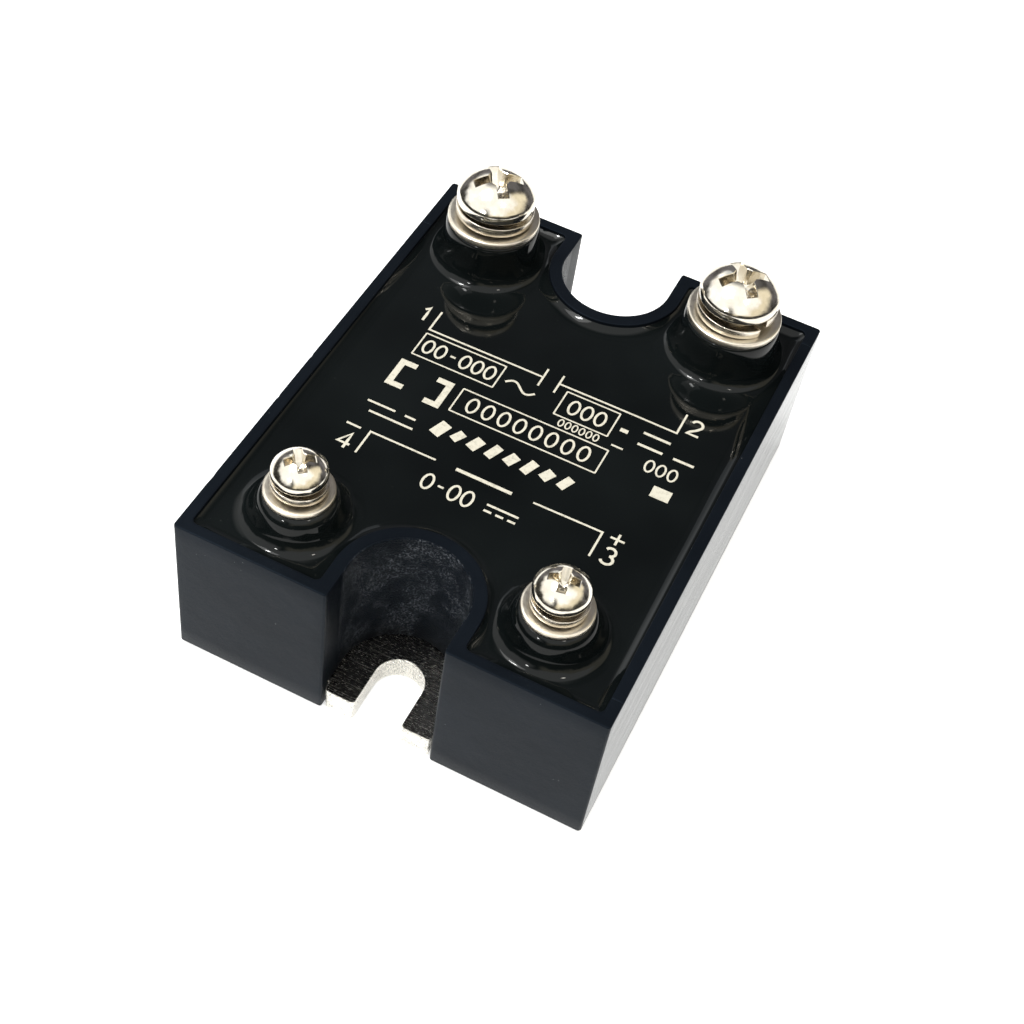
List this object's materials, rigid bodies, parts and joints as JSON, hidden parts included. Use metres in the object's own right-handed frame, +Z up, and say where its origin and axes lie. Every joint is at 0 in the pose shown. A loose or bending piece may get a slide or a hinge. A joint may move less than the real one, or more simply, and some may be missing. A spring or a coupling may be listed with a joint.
{
  "type": "solid state relay",
  "caption": "Panel-mount solid state relay: black potted housing on a slotted metal heat-sink base, with screw terminals for load and control.",
  "frame": {"origin": "middle of the heat-sink face, which is the middle of the bottom of the part", "axes": "+X across the width, +Y along the length towards load terminals 1 and 2, +Z up away from the heat sink"},
  "size_m": [0.0448, 0.0582, 0.0286],
  "materials": {
    "housing_plastic": "fine spark-eroded matte moulding, blue-black",
    "base_plate_nickel": "nickel-plated, transverse brush marks, bright worn edges",
    "potting_epoxy": "self-levelled glossy black epoxy with menisci",
    "silicone_gel": "clear soft gel",
    "copper": "bare rolled copper",
    "tinned_copper": "tinned copper",
    "alumina": "fired white alumina",
    "silicon": "metallised silicon",
    "circuit_board": "green solder mask",
    "component_body": "black moulded package with tinned legs",
    "resistor_body": "lacquered resistor body",
    "insert_brass": "turned brass, nickel flashed",
    "washer_nickel": "warm bright nickel plate",
    "lock_washer_nickel": "warm bright nickel plate",
    "screw_nickel": "warm bright nickel plate, driver marks in the recess"
  },
  "bodies": {
    "relay": {"housing": "housing_plastic", "base_plate": "base_plate_nickel", "potting_resin": "potting_epoxy", "silicone_gel": "silicone_gel", "substrate_back_copper": "copper", "ceramic_substrate": "alumina", "copper_track_1": "copper", "copper_track_2": "copper", "thyristor_chip_1": "silicon", "thyristor_chip_2": "silicon", "cathode_clip_1": "copper", "cathode_clip_2": "copper", "output_busbar_1": "tinned_copper", "output_busbar_2": "tinned_copper", "gate_lead_1": "tinned_copper", "gate_lead_2": "tinned_copper", "control_board": "circuit_board", "optocoupler": "component_body", "input_resistor": "resistor_body", "gate_resistor": "resistor_body", "current_limiter": "component_body", "protection_diode": "component_body", "input_pin_3": "tinned_copper", "input_pin_4": "tinned_copper", "output_insert_1": "insert_brass", "output_insert_2": "insert_brass", "input_insert_3": "insert_brass", "input_insert_4": "insert_brass"},
    "terminal_1_washers": {"output_flat_washer_1": "washer_nickel", "output_lock_washer_1": "lock_washer_nickel"},
    "terminal_1_screw": {"output_screw_1": "screw_nickel"},
    "terminal_2_washers": {"output_flat_washer_2": "washer_nickel", "output_lock_washer_2": "lock_washer_nickel"},
    "terminal_2_screw": {"output_screw_2": "screw_nickel"},
    "terminal_3_washers": {"input_flat_washer_3": "washer_nickel", "input_lock_washer_3": "lock_washer_nickel"},
    "terminal_3_screw": {"input_screw_3": "screw_nickel"},
    "terminal_4_washers": {"input_flat_washer_4": "washer_nickel", "input_lock_washer_4": "lock_washer_nickel"},
    "terminal_4_screw": {"input_screw_4": "screw_nickel"}
  },
  "joints": [
    {"name": "terminal_1_rise", "type": "slide", "parent": "relay", "child": "terminal_1_washers", "axis": [0, 0, 1], "range_m": [0, 0.0048]},
    {"name": "terminal_1_turn", "type": "hinge", "parent": "terminal_1_washers", "child": "terminal_1_screw", "pos_m": [-0.01405, 0.0215, 0.025], "axis": [0, 0, 1], "range_deg": [0, 2161]},
    {"name": "terminal_2_rise", "type": "slide", "parent": "relay", "child": "terminal_2_washers", "axis": [0, 0, 1], "range_m": [0, 0.0048]},
    {"name": "terminal_2_turn", "type": "hinge", "parent": "terminal_2_washers", "child": "terminal_2_screw", "pos_m": [0.01405, 0.0215, 0.025], "axis": [0, 0, 1], "range_deg": [0, 2161]},
    {"name": "terminal_3_rise", "type": "slide", "parent": "relay", "child": "terminal_3_washers", "axis": [0, 0, 1], "range_m": [0, 0.003]},
    {"name": "terminal_3_turn", "type": "hinge", "parent": "terminal_3_washers", "child": "terminal_3_screw", "pos_m": [0.0134, -0.0213, 0.025], "axis": [0, 0, 1], "range_deg": [0, 2161]},
    {"name": "terminal_4_rise", "type": "slide", "parent": "relay", "child": "terminal_4_washers", "axis": [0, 0, 1], "range_m": [0, 0.003]},
    {"name": "terminal_4_turn", "type": "hinge", "parent": "terminal_4_washers", "child": "terminal_4_screw", "pos_m": [-0.0134, -0.0213, 0.025], "axis": [0, 0, 1], "range_deg": [0, 2161]}
  ],
  "couplings": [
    {"joint": "terminal_1_turn", "follows": "terminal_1_rise", "rad_per_m": 7854},
    {"joint": "terminal_2_turn", "follows": "terminal_2_rise", "rad_per_m": 7854},
    {"joint": "terminal_3_turn", "follows": "terminal_3_rise", "rad_per_m": 12566},
    {"joint": "terminal_4_turn", "follows": "terminal_4_rise", "rad_per_m": 12566}
  ]
}
